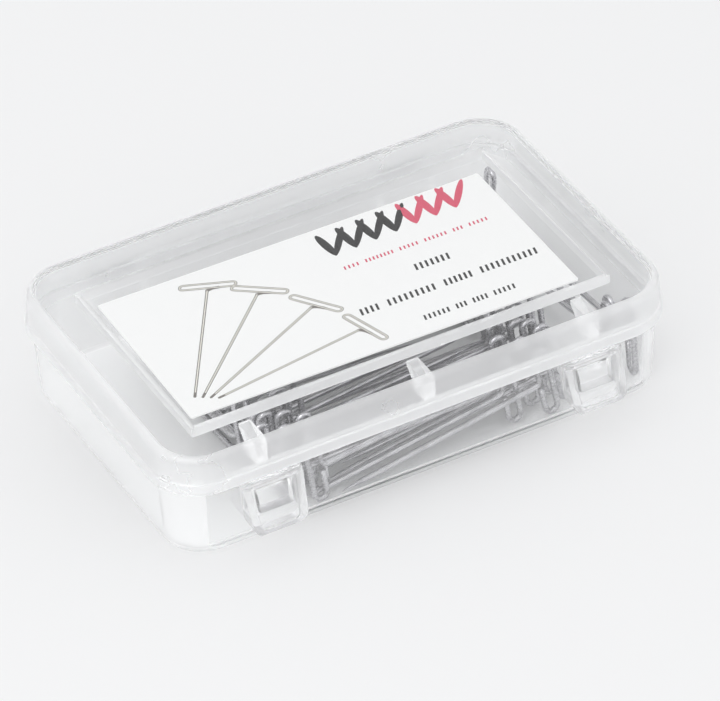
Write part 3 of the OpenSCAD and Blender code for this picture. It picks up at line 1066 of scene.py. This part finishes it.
def make_camera(settings):
    """The camera, on a long lens from the front left and above."""
    a, e = settings.azimuth, settings.elevation
    back = Vector((math.sin(a) * math.cos(e), -math.cos(a) * math.cos(e), math.sin(e)))
    middle = (CAD_BOX[0] + CAD_BOX[1]) / 2
    data = bpy.data.cameras.new("camera")
    data.lens = settings.lens
    data.sensor_width = 36.0
    data.clip_start, data.clip_end = 0.01, 20.0
    camera = bpy.data.objects.new("camera", data)
    place = Vector((0, 0, middle.z + 0.55 * MM)) + back * settings.distance
    aim = Vector((-0.59 * MM, -6.6 * MM, 11 * MM))
    turn = (aim - place).to_track_quat("-Z", "Y").to_matrix().to_4x4()
    camera.matrix_world = Matrix.Translation(place) @ turn @ Matrix.Rotation(settings.roll,
                                                                            4, "Z")
    bpy.context.scene.collection.objects.link(camera)
    bpy.context.scene.camera = camera


# --- Operators, panel and registration ---

class PINBOX_OT_tray(bpy.types.Operator):
    """Build the tray with its catches and hinge ears"""

    bl_idname = "pinbox.tray"
    bl_label = "Tray"

    def execute(self, context):
        make_tray()
        return {"FINISHED"}


class PINBOX_OT_lid(bpy.types.Operator):
    """Build the lid with its gussets and hinge knuckles"""

    bl_idname = "pinbox.lid"
    bl_label = "Lid"

    def execute(self, context):
        make_lid()
        return {"FINISHED"}


class PINBOX_OT_latches(bpy.types.Operator):
    """Build the two latch flaps"""

    bl_idname = "pinbox.latches"
    bl_label = "Latches"

    def execute(self, context):
        for name in ("latch_left", "latch_right"):
            make_latch(name, name)
        return {"FINISHED"}


class PINBOX_OT_card(bpy.types.Operator):
    """Build the label card and its print"""

    bl_idname = "pinbox.card"
    bl_label = "Label card"

    def execute(self, context):
        make_card()
        make_print()
        return {"FINISHED"}


class PINBOX_OT_pins(bpy.types.Operator):
    """Build the T-pins"""

    bl_idname = "pinbox.pins"
    bl_label = "T-pins"

    def execute(self, context):
        pins = context.scene.pin_box_pins
        finish = material("nickel_wire", plated_wire, pins)
        for name in PIN_NODES:
            make_pin(name, finish, pins.overall)
        return {"FINISHED"}


class PINBOX_OT_stage(bpy.types.Operator):
    """Set up the floor, the light and the camera"""

    bl_idname = "pinbox.stage"
    bl_label = "Stage"

    def execute(self, context):
        settings = context.scene.pin_box_stage
        make_floor(settings)
        make_sky(settings)
        make_lamp("key_light", Vector((-0.5, -0.35, 0.9)), Vector((0, 0, 0)), 0.6,
                  settings.key)
        make_camera(settings)
        context.scene.view_settings.view_transform = "Standard"
        return {"FINISHED"}


OPERATORS = (PINBOX_OT_stage, PINBOX_OT_tray, PINBOX_OT_lid, PINBOX_OT_latches,
             PINBOX_OT_card, PINBOX_OT_pins)


class PINBOX_PT_panel(bpy.types.Panel):
    """Buttons and settings for the pin box."""

    bl_label = "T-pin box"
    bl_idname = "PINBOX_PT_panel"
    bl_space_type = "VIEW_3D"
    bl_region_type = "UI"
    bl_category = "T-pin box"

    def draw(self, context):
        for operator in OPERATORS:
            self.layout.operator(operator.bl_idname)
        for group in SETTINGS:
            settings = getattr(context.scene, group)
            for name in settings.__annotations__:
                self.layout.prop(settings, name)


SETTINGS = {"pin_box_shell": PinBoxShell, "pin_box_latch": PinBoxLatch,
            "pin_box_card": PinBoxCard, "pin_box_pins": PinBoxPins,
            "pin_box_stage": PinBoxStage}


def register():
    """Registers the settings, the operators and the panel."""
    for group, kind in SETTINGS.items():
        bpy.utils.register_class(kind)
        setattr(bpy.types.Scene, group, PointerProperty(type=kind))
    for kind in (*OPERATORS, PINBOX_PT_panel):
        bpy.utils.register_class(kind)


def unregister():
    """Removes what register() added."""
    for kind in (PINBOX_PT_panel, *reversed(OPERATORS)):
        bpy.utils.unregister_class(kind)
    for group, kind in reversed(SETTINGS.items()):
        delattr(bpy.types.Scene, group)
        bpy.utils.unregister_class(kind)


def main():
    """Builds everything in order."""
    register()
    for operator in OPERATORS:
        category, name = operator.bl_idname.split(".")
        getattr(getattr(bpy.ops, category), name)()


if __name__ == "__main__":
    main()
